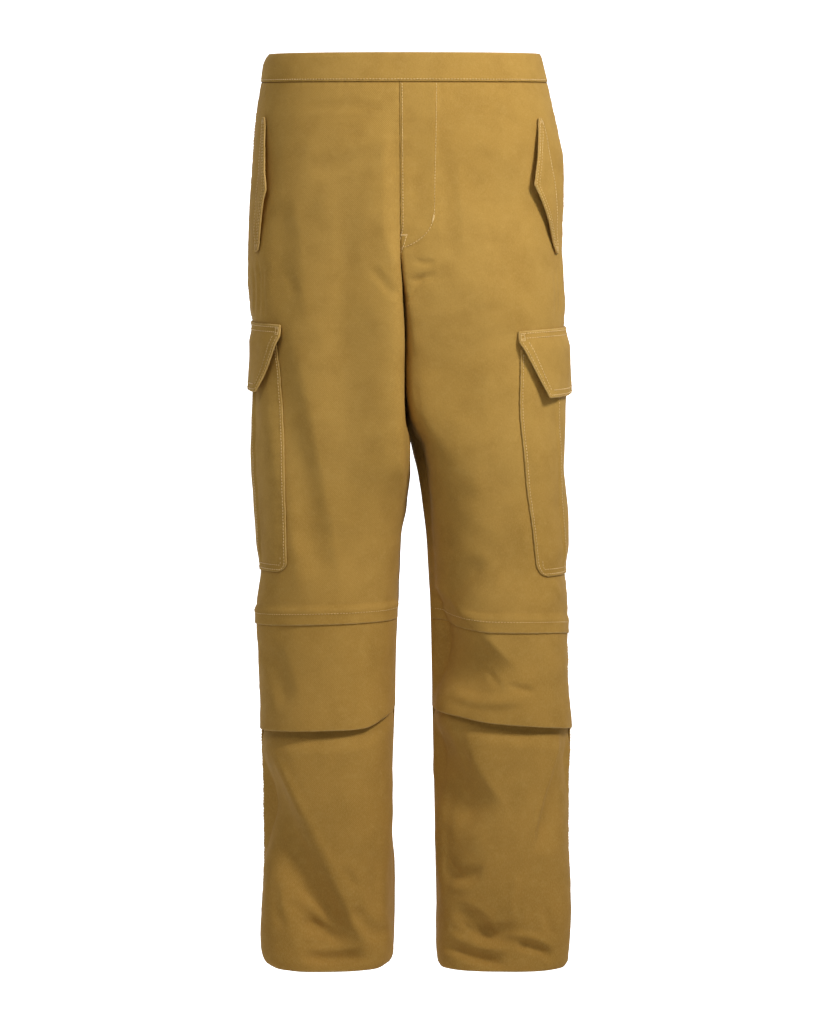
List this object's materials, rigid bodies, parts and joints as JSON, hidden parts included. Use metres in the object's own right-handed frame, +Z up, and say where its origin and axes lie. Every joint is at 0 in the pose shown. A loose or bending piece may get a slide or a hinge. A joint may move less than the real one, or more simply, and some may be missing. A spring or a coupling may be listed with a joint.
{
  "type": "cargo trousers, worn shape",
  "caption": "Straight cotton cargo trousers in their worn, hollow shape, with knee panels, pointed hip flaps and flapped thigh pockets closed by snaps.",
  "frame": {"origin": "middle of the waist opening at its side seams, where the wearer holds it up", "axes": "+Z up out of the waist, the front faces -Y, the wearer's left is +X"},
  "size_m": [0.3739, 0.267, 1.0652],
  "materials": {
    "cotton": "matt tan cotton twill",
    "snap_metal": "bright nickel plate"
  },
  "bodies": {
    "root": {"waistband": "cotton", "front_right": "cotton", "back_right": "cotton", "knee_right": "cotton", "shin_right": "cotton", "hip_flap_right": "cotton", "cargo_pocket_right": "cotton", "cargo_flap_right": "cotton", "front_left": "cotton", "back_left": "cotton", "knee_left": "cotton", "shin_left": "cotton", "hip_flap_left": "cotton", "cargo_pocket_left": "cotton", "cargo_flap_left": "cotton", "snap_right_front": "snap_metal", "snap_right_rear": "snap_metal", "snap_left_front": "snap_metal", "snap_left_rear": "snap_metal"}
  },
  "joints": []
}
